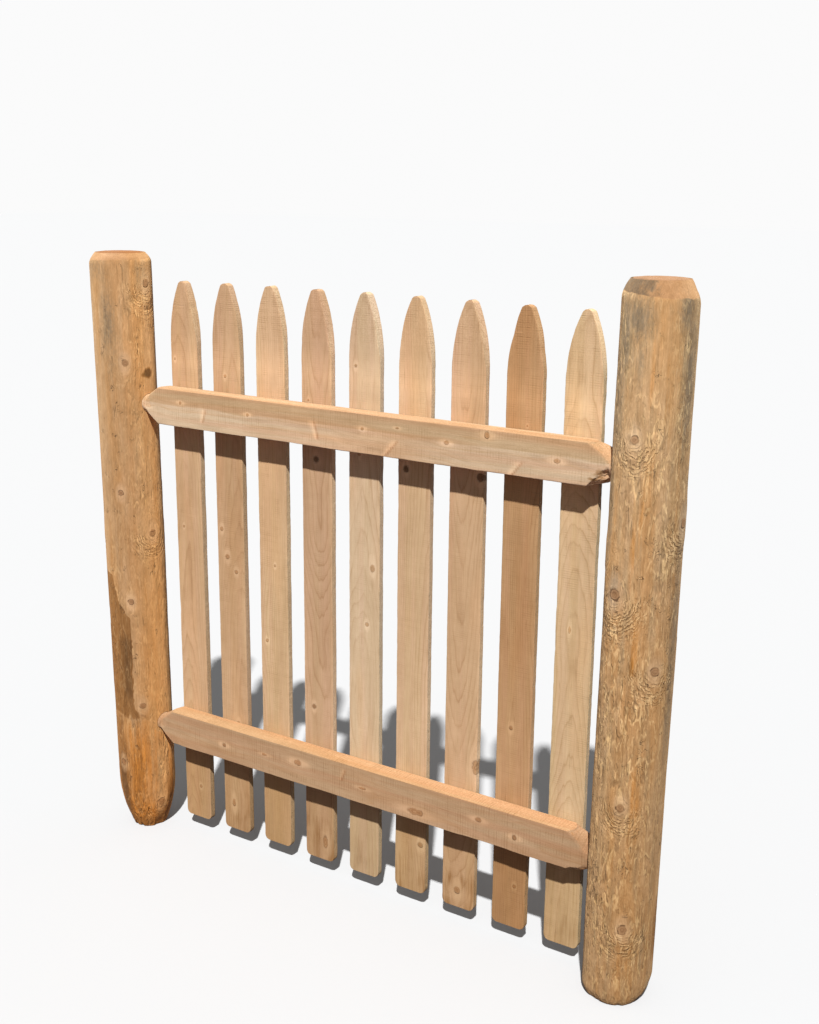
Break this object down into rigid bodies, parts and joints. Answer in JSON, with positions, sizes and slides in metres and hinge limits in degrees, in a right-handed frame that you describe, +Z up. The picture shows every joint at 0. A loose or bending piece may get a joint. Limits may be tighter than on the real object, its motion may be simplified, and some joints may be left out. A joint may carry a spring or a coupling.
{
  "type": "picket fence section",
  "caption": "Fixed section of spaced picket fence: pointed boards nailed to sawn rails whose sharpened ends are pinned in round log posts.",
  "frame": {"origin": "on the ground, midway between the tops of the posts, below the middle of the rails' thickness", "axes": "+X along the rails to the right as seen from the rail side, +Y through the pickets to the back, +Z up"},
  "size_m": [1.3476, 0.1329, 1.3135],
  "materials": {
    "post_wood": "peeled log, bare and lightly weathered",
    "rail_wood": "rough sawn, bare",
    "picket_wood": "rough sawn, bare",
    "nail_steel": "dull galvanised"
  },
  "bodies": {
    "root": {"left_post": "post_wood", "right_post": "post_wood", "upper_rail": "rail_wood", "lower_rail": "rail_wood", "picket_1": "picket_wood", "picket_2": "picket_wood", "picket_3": "picket_wood", "picket_4": "picket_wood", "picket_5": "picket_wood", "picket_6": "picket_wood", "picket_7": "picket_wood", "picket_8": "picket_wood", "picket_9": "picket_wood", "upper_nail_1a": "nail_steel", "upper_nail_1b": "nail_steel", "upper_nail_2a": "nail_steel", "upper_nail_2b": "nail_steel", "upper_nail_3a": "nail_steel", "upper_nail_3b": "nail_steel", "upper_nail_4a": "nail_steel", "upper_nail_4b": "nail_steel", "upper_nail_5a": "nail_steel", "upper_nail_5b": "nail_steel", "upper_nail_6a": "nail_steel", "upper_nail_6b": "nail_steel", "upper_nail_7a": "nail_steel", "upper_nail_7b": "nail_steel", "upper_nail_8a": "nail_steel", "upper_nail_8b": "nail_steel", "upper_nail_9a": "nail_steel", "upper_nail_9b": "nail_steel", "left_post_upper_pin": "nail_steel", "right_post_upper_pin": "nail_steel", "lower_nail_1a": "nail_steel", "lower_nail_1b": "nail_steel", "lower_nail_2a": "nail_steel", "lower_nail_2b": "nail_steel", "lower_nail_3a": "nail_steel", "lower_nail_3b": "nail_steel", "lower_nail_4a": "nail_steel", "lower_nail_4b": "nail_steel", "lower_nail_5a": "nail_steel", "lower_nail_5b": "nail_steel", "lower_nail_6a": "nail_steel", "lower_nail_6b": "nail_steel", "lower_nail_7a": "nail_steel", "lower_nail_7b": "nail_steel", "lower_nail_8a": "nail_steel", "lower_nail_8b": "nail_steel", "lower_nail_9a": "nail_steel", "lower_nail_9b": "nail_steel", "left_post_lower_pin": "nail_steel", "right_post_lower_pin": "nail_steel"}
  },
  "joints": []
}
